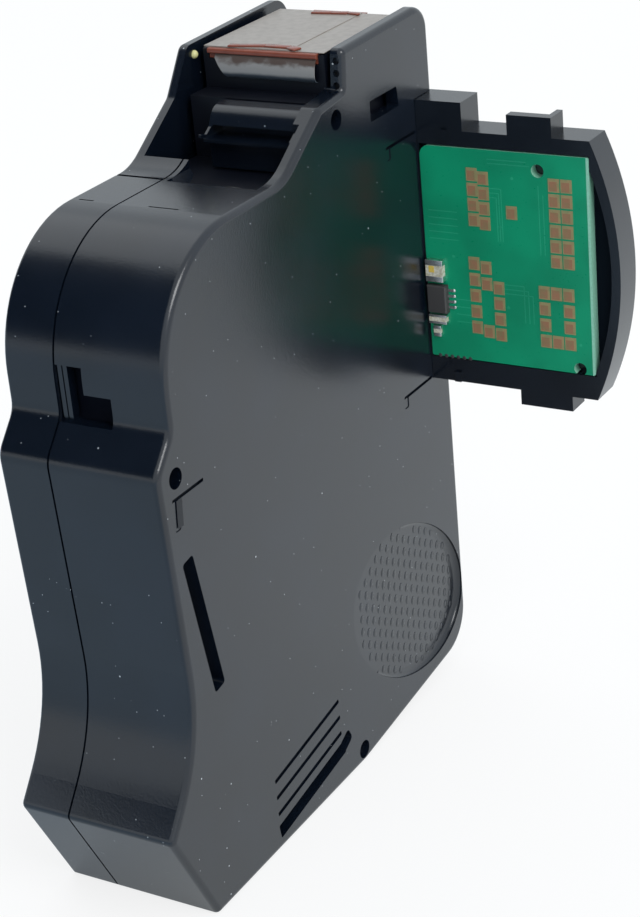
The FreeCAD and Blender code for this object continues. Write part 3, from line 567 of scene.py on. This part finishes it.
@dataclass(frozen=True)
class Finishes:
    """Every finish of the cartridge, made once."""

    shell: bpy.types.Material
    dull: bpy.types.Material
    wing: bpy.types.Material
    tank: bpy.types.Material
    board: bpy.types.Material
    gold: bpy.types.Material
    trace: bpy.types.Material
    worn_gold: bpy.types.Material
    yellow: bpy.types.Material
    flap: bpy.types.Material
    tin: bpy.types.Material
    chip: bpy.types.Material
    ceramic: bpy.types.Material
    film: bpy.types.Material
    flex: bpy.types.Material
    glue: bpy.types.Material
    foam: bpy.types.Material
    screen: bpy.types.Material
    plug: bpy.types.Material

    @staticmethod
    def wing_gap() -> Box:
        """Finds the gap between the board's rim and the wing's curved end, just behind the board's face,
        where the wing gets painted shade.

        Returns:
            Its lowest and highest corner.
        """
        low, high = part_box("circuit_board")
        return ((low.x + 0.4 * MM, low.y - 9 * MM, low.z - 1 * MM),
                (low.x + 12 * MM, low.y + 0.2 * MM, high.z + 1 * MM))

    @staticmethod
    def front_window() -> Box:
        """Gives the window in the front strip, through which the tank is seen, and where the tank gets
        painted shade.

        Returns:
            Its lowest and highest corner.
        """
        return (-19 * MM, -4.6 * MM, 70 * MM), (-8 * MM, 5.2 * MM, 86 * MM)

    @classmethod
    def create(cls) -> "Finishes":
        """Makes the materials of all pieces.

        Returns:
            The finishes.
        """
        board_low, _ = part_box("circuit_board")
        track_green = (0.02, 0.37, 0.20)
        return cls(
            shell=MouldedPlastic("shell_black", (0.0022, 0.0045, 0.0095), Gloss.SEMI, 0.33 * MM, 0.012 * MM,
                                 dust=0.28).make(),
            # Painted shade: a satin, weakly reflecting finish for the strip that stands in for the shade of
            # the waist mark's shallow recess.
            dull=MouldedPlastic("mark_dull", (0.003, 0.005, 0.009), Gloss.SATIN, refraction=1.38).make(),
            # The wing and the tank get painted shade in their recess boxes.
            wing=MouldedPlastic("wing_black", (0.002, 0.004, 0.008), Gloss.SEMI,
                                recess=cls.wing_gap()).make(),
            tank=MouldedPlastic("tank_black", (0.002, 0.003, 0.007), Gloss.SATIN, refraction=1.4,
                                recess=cls.front_window()).make(),
            board=SolderMask("board_green", (0.001, 0.30, 0.145), (0.32, 0.68, 0.50), board_low.x,
                             board_low.y + 0.4 * MM).make(),
            gold=PlatedMetal("pad_gold", (0.38, 0.29, 0.14), (0.28, 0.28, 0.13), 0.40, 0.25).make(),
            worn_gold=PlatedMetal("pad_worn", (0.36, 0.18, 0.10), (0.28, 0.20, 0.10), 0.42, 0.2).make(),
            yellow=CeramicBody("lens_yellow", (0.72, 0.52, 0.10), (0.60, 0.40, 0.06)).make(),
            trace=SolderMask("trace_green", track_green, track_green, board_low.x, -1.0).make(),
            tin=PlatedMetal("solder_tin", (0.80, 0.80, 0.78), (0.55, 0.56, 0.56), 0.3).make(),
            chip=MouldedPlastic("chip_epoxy", (0.03, 0.028, 0.028), Gloss.DULL, 0.1 * MM, 0.008 * MM).make(),
            ceramic=CeramicBody("ceramic_body", (0.62, 0.60, 0.52), (0.45, 0.42, 0.30)).make(),
            film=ThinFilm("peel_film", (0.315, 0.28, 0.25), 0.35).make(),
            flap=SmudgedFilm("flap_film", (0.27, 0.265, 0.26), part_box("film_flap")).make(),
            flex=ThinFilm("amber_flex", (0.24, 0.065, 0.04), 0.24).make(),
            glue=ThinFilm("glue_drop", (0.70, 0.66, 0.30), 0.2).make(),
            foam=InkFoam("ink_foam", (0.006, 0.006, 0.012)).make(),
            screen=WovenScreen("filter_weave", (0.62, 0.62, 0.60)).make(),
            plug=MouldedPlastic("plug_rubber", (0.010, 0.010, 0.011), Gloss.DULL).make(),
        )


def dress(material: bpy.types.Material, *nodes: str) -> None:
    """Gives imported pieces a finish.

    Args:
        material: The finish.
        nodes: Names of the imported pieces.
    """
    for name in nodes:
        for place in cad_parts[name].material_slots:
            place.material = material
        LOG.info("%s wears %s", name, material.name)


def add_piece(
    name: str,
    build: Callable[[bmesh.types.BMesh], None],
    material: bpy.types.Material,
    smooth: bool = True,
) -> None:
    """Makes one piece from a bmesh and lets it ride on the cartridge.

    Args:
        name: The piece's name.
        build: Fills an empty bmesh, in place and in metres.
        material: Its finish.
        smooth: Whether its faces are shaded smooth.
    """
    shape = bmesh.new()
    build(shape)
    bmesh.ops.recalc_face_normals(shape, faces=shape.faces)
    mesh = bpy.data.meshes.new(name)
    for face in shape.faces:
        face.smooth = smooth
    shape.to_mesh(mesh)
    shape.free()
    mesh.materials.append(material)
    piece = bpy.data.objects.new(name, mesh)
    bpy.context.scene.collection.objects.link(piece)
    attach(piece, BODY)
    LOG.info("%s: %d faces", name, len(mesh.polygons))


def bevel_edges(shape: bmesh.types.BMesh, edges: Sequence[bmesh.types.BMEdge], radius: float) -> None:
    """Rounds edges off.

    Args:
        shape: The bmesh that they are in.
        edges: The edges.
        radius: Radius of the round.
    """
    bmesh.ops.bevel(shape, geom=edges, offset=radius, affect="EDGES", segments=2, profile=0.5, material=-1)


def add_block(shape: bmesh.types.BMesh, low: Vector, high: Vector, radius: float) -> None:
    """Adds a block between two corners, with its edges rounded off.

    Args:
        shape: The bmesh that takes it.
        low: Lowest corner.
        high: Highest corner.
        radius: Radius of the edges.
    """
    place = Matrix.Translation((low + high) / 2) @ Matrix.Diagonal((*(high - low), 1.0))
    made = bmesh.ops.create_cube(shape, size=1.0, matrix=place)
    bevel_edges(shape, list({edge for vert in made["verts"] for edge in vert.link_edges}), radius)


def add_strip(
    shape: bmesh.types.BMesh, start: Vector, end: Vector, width: float, thick: float, out: Vector
) -> None:
    """Adds a straight strip that lies on a face.

    Args:
        shape: The bmesh that takes it.
        start: Middle of its underside at one end.
        end: Middle of its underside at the other end.
        width: Its width.
        thick: How far it stands off the face.
        out: Outward normal of the face.
    """
    along = end - start
    side = out.cross(along).normalized()
    turn = Matrix((along.normalized(), side, out)).transposed().to_4x4()
    place = Matrix.Translation((start + end) / 2 + out * thick / 2) @ turn
    bmesh.ops.create_cube(shape, size=1.0, matrix=place @ Matrix.Diagonal((along.length, width, thick, 1.0)))


def add_pillow(shape: bmesh.types.BMesh, middle: Vector, radii: Point) -> None:
    """Adds a low rounded body.

    Args:
        shape: The bmesh that takes it.
        middle: Its middle.
        radii: Half its size along X, Y and Z.
    """
    place = Matrix.Translation(middle) @ Matrix.Diagonal((*radii, 1.0))
    bmesh.ops.create_icosphere(shape, subdivisions=2, radius=1.0, matrix=place)


def parts_of(node: str) -> list[tuple[Vector, Vector]]:
    """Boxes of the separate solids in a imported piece.

    Args:
        node: The piece's name.

    Returns:
        Lowest and highest corner of each solid.
    """
    shape = bmesh.new()
    shape.from_mesh(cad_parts[node].data)
    bmesh.ops.remove_doubles(shape, verts=shape.verts, dist=MERGE_DISTANCE)
    left = set(shape.verts)
    boxes = []
    while left:
        found, edge = set(), {left.pop()}
        while edge:
            found |= edge
            edge = {line.other_vert(vert) for vert in edge for line in vert.link_edges} - found
        left -= found
        low, high = (Vector(pick(vert.co[i] for vert in found) for i in range(3)) for pick in (min, max))
        boxes.append((low, high))
    shape.free()
    return boxes


@dataclass
class Case:
    """The two shells with the grip in the thumb scoop."""

    finishes: Finishes
    scoop_middle: tuple[float, float] = (38.35 * MM, 19.2 * MM)
    scoop_size: tuple[float, float] = (37.0 * MM, 24.6 * MM)
    scoop_tilt: float = math.radians(-27.0)
    scoop_depth: float = 1.1 * MM
    grip_column: float = 1.85 * MM
    grip_row: float = 2.13 * MM
    grip_radii: Point = (0.55 * MM, 0.09 * MM, 0.72 * MM)
    grip_margin: float = 0.9 * MM
    fillet_cells: tuple[int, int] = (96, 8)
    fillet_turn: float = 0.62
    fillet_reach: float = 1.7
    fillet_top: float = 0.25
    fillet_lift: float = 0.012 * MM
    mark_top: tuple[float, float] = (-18.85 * MM, 63.2 * MM)
    mark_foot: tuple[float, float] = (-19.15 * MM, 59.4 * MM)
    mark_width: float = 1.3 * MM
    mark_thick: float = 0.01 * MM

    @property
    def near(self) -> float:
        """Where the near broad side is along Y."""
        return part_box("near_shell")[0].y

    def floor_depth(self, along: float) -> float:
        """Depth of the scoop's floor at a distance along its long axis from its middle."""
        return self.scoop_depth / 2 + along * self.scoop_depth / self.scoop_size[0]

    def grip_places(self) -> list[Vector]:
        """Finds the grip bumps: columns straight down, every other one half a row lower.

        Returns:
            The middle of each bump.
        """
        near = self.near
        cos, sin = math.cos(self.scoop_tilt), math.sin(self.scoop_tilt)
        half_long, half_short = (size / 2 - self.grip_margin for size in self.scoop_size)
        reach = int(half_long / self.grip_column) + 2
        places = []
        for i in range(-reach, reach + 1):
            for j in range(-reach, reach + 1):
                x = i * self.grip_column
                z = (j + 0.5 * (i % 2)) * self.grip_row
                along, across = x * cos + z * sin, z * cos - x * sin
                if (along / half_long) ** 2 + (across / half_short) ** 2 < 1.0:
                    y = near + self.floor_depth(along)
                    places.append(Vector((self.scoop_middle[0] + x, y, self.scoop_middle[1] + z)))
        return places

    def build_grip(self, shape: bmesh.types.BMesh) -> None:
        """Adds one low pillow at each grip place."""
        for place in self.grip_places():
            add_pillow(shape, place, self.grip_radii)

    def build_fillet(self, shape: bmesh.types.BMesh) -> None:
        """Adds the round between the scoop's floor and its wall, from a grid laid along the ellipse.

        Args:
            shape: The bmesh that takes it.
        """
        near = self.near
        cos, sin = math.cos(self.scoop_tilt), math.sin(self.scoop_tilt)
        half_long, half_short = self.scoop_size[0] / 2, self.scoop_size[1] / 2
        columns, rows = self.fillet_cells
        made = bmesh.ops.create_grid(shape, x_segments=columns, y_segments=rows, size=0.5)
        for vert in made["verts"]:
            angle = vert.co.x * math.tau * self.fillet_turn
            bend = (vert.co.y + 0.5) * math.pi / 2
            wall_depth = self.floor_depth(half_long * math.cos(angle))
            inset = self.fillet_reach * wall_depth * (1.0 - math.cos(bend)) + self.fillet_lift
            along, across = (half_long - inset) * math.cos(angle), (half_short - inset) * math.sin(angle)
            drop = wall_depth * (self.fillet_top + (1.0 - self.fillet_top) * math.sin(bend))
            floor = self.floor_depth(along) - self.fillet_lift
            x = self.scoop_middle[0] + along * cos - across * sin
            z = self.scoop_middle[1] + along * sin + across * cos
            vert.co = Vector((x, near + min(drop, floor), z))

    def build_mark_side(self, shape: bmesh.types.BMesh) -> None:
        """Adds painted shade for the upright limb of the corner mark at the waist: a thin strip on the near
        side.
        """
        top, foot = (Vector((x, self.near, z)) for x, z in (self.mark_top, self.mark_foot))
        add_strip(shape, top, foot, self.mark_width, self.mark_thick, TOWARDS_NEAR_SIDE)

    def build(self) -> None:
        """Dresses the shells and adds the scoop's grip and round, and a strip of painted shade for the
        upright limb of the waist mark.
        """
        dress(self.finishes.shell, "near_shell", "far_shell")
        add_piece("scoop_grip", self.build_grip, self.finishes.shell)
        add_piece("scoop_round", self.build_fillet, self.finishes.shell)
        # Painted shade for the waist mark's upright limb.
        add_piece("mark_side_shade", self.build_mark_side, self.finishes.dull, smooth=False)


@dataclass
class Snout:
    """The print head with its flex, film and glue.

    A bend of a curled edge of the flex says how far back from that end of the film it lies and how far
    along the end, both in millimetres, and how wide the edge is from there, as a share of curl_width.
    """

    finishes: Finishes
    curl_width: float = 1.15 * MM
    curl_thick: float = 0.3 * MM
    curl_radius: float = 0.1 * MM
    curl_sink: float = 0.05 * MM
    front_bends: tuple[Point, ...] = (
        (0.3, 4.3, 1.2), (1.1, 6.0, 1.0), (1.2, 10.0, 0.9), (0.5, 14.0, 0.9), (0.3, 15.6, 0.5),
    )
    back_bends: tuple[Point, ...] = ((-1.4, 5.4, 0.6), (-0.9, 7.5, 1.0), (-1.2, 10.0, 0.9), (-1.5, 13.2, 0.7))

    def build_curls(self, shape: bmesh.types.BMesh) -> None:
        """Adds the edges of the flex that curl up over the film, at its front and at its back.

        Args:
            shape: The bmesh that takes them.
        """
        low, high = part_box("protective_film")
        top = high.z - self.curl_sink
        for base, bends in ((low.x, self.front_bends), (high.x, self.back_bends)):
            places = [Vector((base + behind * MM, low.y + along * MM, top)) for behind, along, _ in bends]
            for start, end, (_, _, share) in zip(places, places[1:], bends):
                add_strip(shape, start, end, share * self.curl_width, self.curl_thick, UP)
        bevel_edges(shape, shape.edges[:], self.curl_radius)

    def build(self) -> None:
        """Dresses the pieces of the snout and adds the curled edges of the flex."""
        dress(self.finishes.film, "protective_film")
        dress(self.finishes.flap, "film_flap")
        add_piece("flex_curls", self.build_curls, self.finishes.flex)
        dress(self.finishes.flex, "flex_circuit", "lead_ribbon")
        dress(self.finishes.glue, "adhesive_dot")
        dress(self.finishes.gold, "nozzle_plate")


@dataclass
class Reservoir:
    """The tank with its covers, foam, screen and plug."""

    finishes: Finishes

    def build(self) -> None:
        """Dresses the pieces of the reservoir."""
        dress(self.finishes.tank, "reservoir_frame", "reservoir_cover_near", "reservoir_cover_far")
        dress(self.finishes.foam, "ink_foam")
        dress(self.finishes.screen, "filter_screen")
        dress(self.finishes.plug, "fill_plug")


@dataclass(frozen=True)
class TrackGroup:
    """Copper tracks side by side.

    A bend of the first track is its distance out from the board's inner edge and up from its lower edge,
    then the steps of both from track to track, in millimetres.
    """

    count: int
    bends: tuple[tuple[float, float, float, float], ...]

    def tracks(self) -> list[list[tuple[float, float]]]:
        """Works out the tracks.

        Returns:
            The bends of each track.
        """
        return [
            [(out + i * out_step, up + i * up_step) for out, up, out_step, up_step in self.bends]
            for i in range(self.count)
        ]


@dataclass
class ContactWing:
    """The wing and its circuit board.

    A via or stub is placed as a track's bend is, in millimetres out from the board's inner edge and up
    from its lower edge. The rub shares are of a pad's width or height.
    """

    finishes: Finishes
    pads: tuple[str, ...] = (
        "upper_outer_pads", "upper_inner_pads", "lower_outer_pads", "lower_inner_pads", "test_pad",
    )
    track_groups: tuple[TrackGroup, ...] = (
        TrackGroup(5, ((0.8, 23.4, 0.0, -1.1), (5.6, 23.4, 0.0, -1.1))),
        TrackGroup(2, ((11.0, 32.0, 0.0, -0.6), (17.2, 32.0, 0.6, -0.6))),
        TrackGroup(3, ((10.6, 27.6, 0.0, -0.7), (13.0, 27.6, -0.4, -0.7), (13.0, 19.5, -0.4, 0.0))),
        TrackGroup(4, ((4.6, 9.6, 0.0, -1.2), (7.2, 9.6, 0.0, -1.2))),
        TrackGroup(3, ((12.0, 12.8, 0.0, -0.7), (16.0, 12.8, 0.7, -0.7), (16.0, 7.0, 0.7, 0.0))),
        TrackGroup(2, ((19.0, 28.6, 0.7, -1.3), (19.0, 18.0, 0.7, 0.0))),
    )
    track_width: float = 0.14 * MM
    vias: tuple[tuple[float, float], ...] = (
        (12.6, 21.8), (14.9, 29.4), (4.6, 16.4), (13.3, 9.2), (19.6, 5.6), (24.8, 4.6),
    )
    via_radius: float = 0.24 * MM
    foil: float = 0.012 * MM
    rub_middle: float = 0.44
    rub_width: float = 0.7
    rub_foot: float = 0.08
    rub_top: float = 0.22
    end_shares: tuple[tuple[str, float], ...] = (("board_capacitors", 0.24), ("board_resistor", 0.3))
    end_proud: float = 0.03 * MM
    end_radius: float = 0.05 * MM
    bead_radii: Point = (0.12 * MM, 0.3 * MM, 0.28 * MM)
    lens_inset: float = 1.0 * MM
    lens_drop: float = 1.9 * MM
    lens_size: Point = (0.05 * MM, 0.9 * MM, 1.0 * MM)
    stub_count: int = 6
    stub_start: float = 1.3
    stub_pitch: float = 1.02
    stub_height: float = 0.06
    stub_radii: Point = (0.03 * MM, 0.32 * MM, 0.32 * MM)

    def on_board(self, out: float, up: float) -> Vector:
        """A point on the board's face, by its distances from the inner and the lower edge in millimetres."""
        low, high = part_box("circuit_board")
        return Vector((low.x, high.y - out * MM, low.z + up * MM))

    def build_tracks(self, shape: bmesh.types.BMesh) -> None:
        """Adds copper tracks and vias that show through the solder mask.

        Args:
            shape: The bmesh that takes them.
        """
        for group in self.track_groups:
            for bends in group.tracks():
                places = [self.on_board(*bend) for bend in bends]
                for start, end in zip(places, places[1:]):
                    add_strip(shape, start, end, self.track_width, self.foil, TOWARDS_FRONT)
        across = Matrix.Rotation(math.pi / 2, 4, "Y")
        for via in self.vias:
            place = Matrix.Translation(self.on_board(*via)) @ across
            bmesh.ops.create_cone(shape, cap_ends=True, segments=16, radius1=self.via_radius,
                                  radius2=self.via_radius, depth=2 * self.foil, matrix=place)

    def build_worn(self, shape: bmesh.types.BMesh) -> None:
        """Adds the patch that a printer's pins have rubbed on each pad.

        Args:
            shape: The bmesh that takes them.
        """
        for node in self.pads:
            for low, high in parts_of(node):
                size = high - low
                y = high.y - size.y * self.rub_middle
                start = Vector((low.x, y, low.z + size.z * self.rub_foot))
                end = Vector((low.x, y, high.z - size.z * self.rub_top))
                add_strip(shape, start, end, size.y * self.rub_width, self.foil / 2, TOWARDS_FRONT)

    def build_ends(self, shape: bmesh.types.BMesh) -> None:
        """Adds tinned ends to the ceramic parts and a bead of solder at each of the chip's leads.

        Args:
            shape: The bmesh that takes them.
        """
        proud = Vector((1.0, 1.0, 1.0)) * self.end_proud
        for node, share in self.end_shares:
            for low, high in parts_of(node):
                reach = (high.z - low.z) * share
                lower_end = Vector((high.x, high.y, low.z + reach))
                upper_end = Vector((low.x, low.y, high.z - reach))
                add_block(shape, low - proud, lower_end + proud, self.end_radius)
                add_block(shape, upper_end - proud, high + proud, self.end_radius)
        for low, high in parts_of("chip_leads"):
            add_pillow(shape, Vector((high.x, low.y, (low.z + high.z) / 2)), self.bead_radii)

    def build_lens(self, shape: bmesh.types.BMesh) -> None:
        """Adds the yellow spot on the upper ceramic part.

        Args:
            shape: The bmesh that takes it.
        """
        low, high = max(parts_of("board_capacitors"), key=lambda box: box[1].z)
        thick, width, length = self.lens_size
        start = Vector((low.x, high.y - self.lens_inset, high.z - self.lens_drop))
        add_strip(shape, start, start + UP * length, width, thick, TOWARDS_FRONT)

    def build_hole_shades(self, shape: bmesh.types.BMesh) -> None:
        """Adds dark dots of painted shade that stand in for the half holes breaking the board's lower edge.

        Args:
            shape: The bmesh that takes them.
        """
        for i in range(self.stub_count):
            place = self.on_board(self.stub_start + self.stub_pitch * i, self.stub_height)
            add_pillow(shape, place, self.stub_radii)

    def build(self) -> None:
        """Dresses the wing, the board and what stands on the board."""
        dress(self.finishes.wing, "contact_wing")
        dress(self.finishes.board, "circuit_board")
        dress(self.finishes.gold, *self.pads)
        dress(self.finishes.chip, "memory_chip")
        dress(self.finishes.tin, "chip_leads")
        dress(self.finishes.ceramic, "board_capacitors", "board_resistor")
        add_piece("board_tracks", self.build_tracks, self.finishes.trace, smooth=False)
        add_piece("pad_contacts", self.build_worn, self.finishes.worn_gold, smooth=False)
        add_piece("tinned_ends", self.build_ends, self.finishes.tin)
        add_piece("lens", self.build_lens, self.finishes.yellow, smooth=False)
        # Painted shade for the half holes along the board's lower edge.
        add_piece("edge_hole_shades", self.build_hole_shades, self.finishes.chip)


@dataclass(frozen=True)
class Softbox:
    """One soft square lamp: where it hangs, its side in metres and its power in watts."""

    name: str
    place: Point
    size: float
    power: float

    def hang(self, aim: Point) -> None:
        """Adds the lamp.

        Args:
            aim: What it points at.
        """
        light = bpy.data.lights.new(self.name, "AREA")
        light.size = self.size
        light.energy = self.power
        lamp = bpy.data.objects.new(self.name, light)
        turn = (Vector(aim) - Vector(self.place)).to_track_quat("-Z", "Y").to_matrix().to_4x4()
        lamp.matrix_world = Matrix.Translation(self.place) @ turn
        bpy.context.scene.collection.objects.link(lamp)


@dataclass
class Studio:
    """Floor, black card, world, lamps and the camera of the photograph."""

    camera_place: Vector
    view_direction: Vector
    camera_up: Vector
    focal_length: float = 86.4
    film_height: float = 36.0
    nearest: float = 0.01
    floor_size: float = 4.0
    floor_drop: float = 0.05 * MM
    floor_colour: Colour = (0.93, 0.93, 0.93)
    floor_colour_ahead: Colour = (0.50, 0.61, 0.71)
    floor_roughness: float = 0.9
    floor_glow: float = 0.8
    glow_colour: Colour = (1.0, 1.0, 1.0)
    floor_shine: float = 0.5
    shine_colour: Colour = (0.93, 0.98, 1.0)
    shine_colour_ahead: Colour = (0.44, 0.565, 0.69)
    ahead_x: float = -0.766
    ahead_y: float = 0.643
    ahead_reach: float = 60 * MM
    card_colour: Colour = (0.015, 0.03, 0.055)
    card_roughness: float = 0.9
    card_distance: float = 125 * MM
    card_turn: float = math.radians(128)
    card_width: float = 190 * MM
    card_base: float = 93 * MM
    card_height: float = 225 * MM
    world_colour: Colour = (0.88, 0.95, 1.0)
    world_strength: float = 0.96
    lamp_aim: Point = (0.015, -0.01, 0.05)
    lamps: tuple[Softbox, ...] = (
        Softbox("back_softbox", (0.25, 0.60, 0.88), 0.6, 0.5),
        Softbox("key_softbox", (-0.35, -0.75, 0.85), 0.5, 5.0),
    )

    def build_camera(self) -> None:
        """Sets the camera where the photograph was taken from."""
        lens = bpy.data.cameras.new("photo_camera")
        lens.sensor_fit = "VERTICAL"
        lens.sensor_height = self.film_height
        lens.lens = self.focal_length
        lens.clip_start = self.nearest
        camera = bpy.data.objects.new("photo_camera", lens)
        back = -self.view_direction.normalized()
        right = self.camera_up.cross(back).normalized()
        turn = Matrix((right, back.cross(right), back)).transposed()
        camera.matrix_world = Matrix.Translation(self.camera_place) @ turn.to_4x4()
        bpy.context.scene.collection.objects.link(camera)
        bpy.context.scene.camera = camera

    def stage(self, name: str, size: float, place: Matrix, paint: Paint) -> bpy.types.Object:
        """Adds a square sheet of the studio, which is no part of the object.

        Args:
            name: The sheet's name.
            size: Half its side, before it is placed.
            place: Where it goes and how it is stretched.
            paint: Its finish.

        Returns:
            The new object.
        """
        shape = bmesh.new()
        bmesh.ops.create_grid(shape, x_segments=1, y_segments=1, size=size, matrix=place)
        mesh = bpy.data.meshes.new(name)
        shape.to_mesh(mesh)
        shape.free()
        mesh.materials.append(paint.material)
        sheet = bpy.data.objects.new(name, mesh)
        bpy.context.scene.collection.objects.link(sheet)
        sheet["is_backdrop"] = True
        return sheet

    def build_floor(self) -> None:
        """Adds the pale floor, which is part lit from within for the camera and for reflections.

        Light that it throws back and what reflections show of it are dimmer ahead of the front strip.
        """
        paint = Paint("floor_white")
        rays = paint.node("ShaderNodeLightPath").outputs
        direct = paint.value(rays["Is Camera Ray"])
        mirrored = paint.value(rays["Is Glossy Ray"]) + paint.value(rays["Is Transmission Ray"])
        ahead = (paint.axis("Y") * self.ahead_y + paint.axis("X") * self.ahead_x).step(0.0, self.ahead_reach)
        tint = paint.mix(ahead * (1.0 - direct), self.floor_colour, self.floor_colour_ahead)
        paint.finish(Base_Color=tint, Roughness=self.floor_roughness)
        pale = paint.mix(ahead, self.shine_colour, self.shine_colour_ahead)
        shine = paint.mix(direct, pale, self.glow_colour)
        seen = direct * self.floor_glow + mirrored * self.floor_shine
        paint.cover(seen, paint.node("ShaderNodeEmission", sockets={"Color": shine, "Strength": 1.0}))
        level = Matrix.Translation((0.0, 0.0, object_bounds()[0][2] - self.floor_drop))
        self.stage("floor", self.floor_size / 2, level, paint)

    def build_card(self) -> None:
        """Adds the black card whose reflection darkens the front strip; the camera looks past it."""
        paint = Paint("card_black")
        paint.finish(Base_Color=self.card_colour, Roughness=self.card_roughness)
        front = Matrix.Translation((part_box("near_shell")[0].x, 0.0, 0.0))
        around = Matrix.Rotation(self.card_turn, 4, "Z")
        ahead = Matrix.Translation((self.card_distance, 0.0, self.card_base + self.card_height / 2))
        upright = Matrix.Rotation(math.pi / 2, 4, "Y")
        stretch = Matrix.Diagonal((self.card_height, self.card_width, 1.0, 1.0))
        card = self.stage("black_card", 0.5, front @ around @ ahead @ upright @ stretch, paint)
        card.visible_camera = False

    def build_world(self) -> None:
        """Lights the scene with a plain world."""
        world = bpy.data.worlds.new("studio")
        world.use_nodes = True
        background = world.node_tree.nodes["Background"]
        background.inputs["Color"].default_value = (*self.world_colour, 1.0)
        background.inputs["Strength"].default_value = self.world_strength
        bpy.context.scene.world = world

    def build(self) -> None:
        """Builds the whole studio."""
        self.build_camera()
        self.build_floor()
        self.build_card()
        self.build_world()
        for lamp in self.lamps:
            lamp.hang(self.lamp_aim)
        bpy.context.scene.view_settings.view_transform = "Standard"


def main() -> None:
    """Builds the looks of the cartridge in order."""
    finishes = Finishes.create()
    Case(finishes).build()
    Snout(finishes).build()
    Reservoir(finishes).build()
    ContactWing(finishes).build()
    Studio(
        camera_place=Vector((-0.22445, -0.16355, 0.1838)),
        view_direction=Vector((0.7697, 0.4834, -0.4169)),
        camera_up=Vector((0.4012, 0.1418, 0.9050)),
    ).build()


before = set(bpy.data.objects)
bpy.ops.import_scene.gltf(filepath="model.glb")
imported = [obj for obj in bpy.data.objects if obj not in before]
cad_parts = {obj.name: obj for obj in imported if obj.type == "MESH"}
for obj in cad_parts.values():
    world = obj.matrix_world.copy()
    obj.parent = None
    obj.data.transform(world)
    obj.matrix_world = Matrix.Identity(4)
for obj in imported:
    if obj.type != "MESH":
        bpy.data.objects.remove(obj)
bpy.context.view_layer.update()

if __name__ == "__main__":
    logging.basicConfig(level=logging.INFO, format="%(message)s")
    main()
